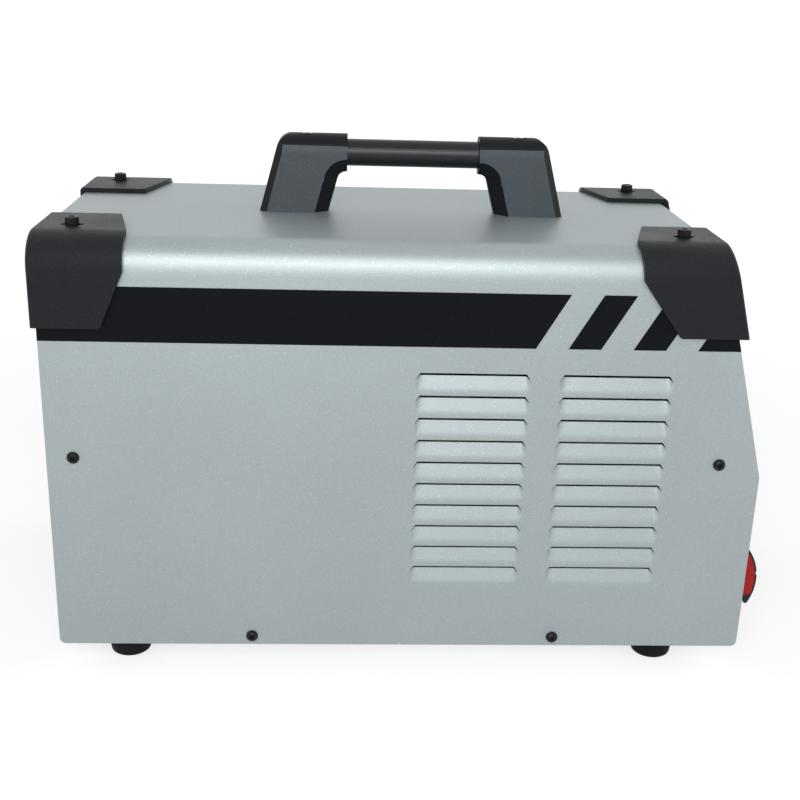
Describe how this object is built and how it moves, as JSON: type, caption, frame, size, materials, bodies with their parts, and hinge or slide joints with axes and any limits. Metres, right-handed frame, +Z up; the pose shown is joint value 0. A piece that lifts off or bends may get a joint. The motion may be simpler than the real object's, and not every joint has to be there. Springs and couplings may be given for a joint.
{
  "type": "stud welder",
  "caption": "Portable capacitor-discharge stud welder in a louvred silver case with a leaning front, corner guards, carrying handle and rubber feet.",
  "frame": {"origin": "on the floor under the middle of the whole machine's box", "axes": "+X to the front with the controls, +Y to the right of a person before the front panel, +Z up"},
  "size_m": [0.506, 0.2326, 0.343],
  "materials": {
    "silver_powder_coat": "silver-grey powder coat",
    "dark_panel": "charcoal powder coat",
    "zinc": "zinc plated",
    "guard_plastic": "fine grain",
    "handle_plastic": "coarse grain",
    "tube_black": "satin",
    "stripe_film": "satin",
    "foot_rubber": "matt",
    "black_screw": "black oxide",
    "red_plastic": "gloss",
    "black_plastic": "satin",
    "meter_window": "gloss",
    "green_lens": "gloss",
    "amber_lens": "gloss",
    "brass": "turned",
    "nickel": "satin",
    "capacitor_sleeve": "satin",
    "tray_plastic": "matt",
    "copper": "bare",
    "core_steel": "varnished",
    "aluminium": "extruded",
    "gold_anodised": "anodised",
    "black_anodised": "anodised",
    "coil_varnish": "varnished winding",
    "board_green": "solder mask"
  },
  "bodies": {
    "machine": {"case_cover": "silver_powder_coat", "front_panel": "dark_panel", "rear_panel": "dark_panel", "base_pan": "zinc", "handle_bolts": "zinc", "foot_screws": "zinc", "fan_screws": "zinc", "fan_grille": "zinc", "board_standoffs": "zinc", "guard_rear_left": "guard_plastic", "guard_rear_right": "guard_plastic", "guard_front_left": "guard_plastic", "guard_front_right": "guard_plastic", "handle_post_rear": "handle_plastic", "handle_post_front": "handle_plastic", "handle_tube": "tube_black", "stripe_left": "stripe_film", "stripe_right": "stripe_film", "foot_rear_left": "foot_rubber", "foot_rear_right": "foot_rubber", "foot_front_left": "foot_rubber", "foot_front_right": "foot_rubber", "guard_screws": "black_screw", "cover_screws": "black_screw", "handle_lock_screws": "black_screw", "switch_housing": "black_plastic", "meter_housing": "black_plastic", "weld_socket_minus": "black_plastic", "weld_socket_plus": "black_plastic", "gun_socket_insert": "black_plastic", "fan_frame": "black_plastic", "cable_gland": "black_plastic", "thyristor": "black_plastic", "rectifier": "black_plastic", "meter_window": "meter_window", "power_lamp": "green_lens", "ready_lamp": "amber_lens", "socket_contact_minus": "brass", "socket_contact_plus": "brass", "earth_stud": "brass", "gun_socket": "nickel", "capacitor_1": "capacitor_sleeve", "capacitor_2": "capacitor_sleeve", "capacitor_3": "capacitor_sleeve", "capacitor_4": "capacitor_sleeve", "capacitor_tray": "tray_plastic", "busbar_plus": "copper", "busbar_minus": "copper", "busbar_output": "copper", "transformer_coil": "coil_varnish", "transformer_core": "core_steel", "potentiometer": "aluminium", "heat_sink": "black_anodised", "bleeder_resistor": "gold_anodised", "control_board": "board_green"},
    "rocker": {"switch_rocker": "red_plastic"},
    "knob": {"voltage_knob": "black_plastic", "knob_shaft": "zinc"},
    "fan": {"fan_rotor": "black_plastic"}
  },
  "joints": [
    {"name": "power_rocker", "type": "hinge", "parent": "machine", "child": "rocker", "pos_m": [0.228, -0.082, 0.061], "axis": [0, 1, 0], "range_deg": [0, 16]},
    {"name": "voltage_dial", "type": "hinge", "parent": "machine", "child": "knob", "pos_m": [0.21954, 0.048, 0.19196], "axis": [0.9659, 0, 0.2588], "range_deg": [-150, 150]},
    {"name": "fan_spin", "type": "hinge", "parent": "machine", "child": "fan", "pos_m": [-0.205, 0, 0.161], "axis": [1, 0, 0], "continuous": true}
  ]
}
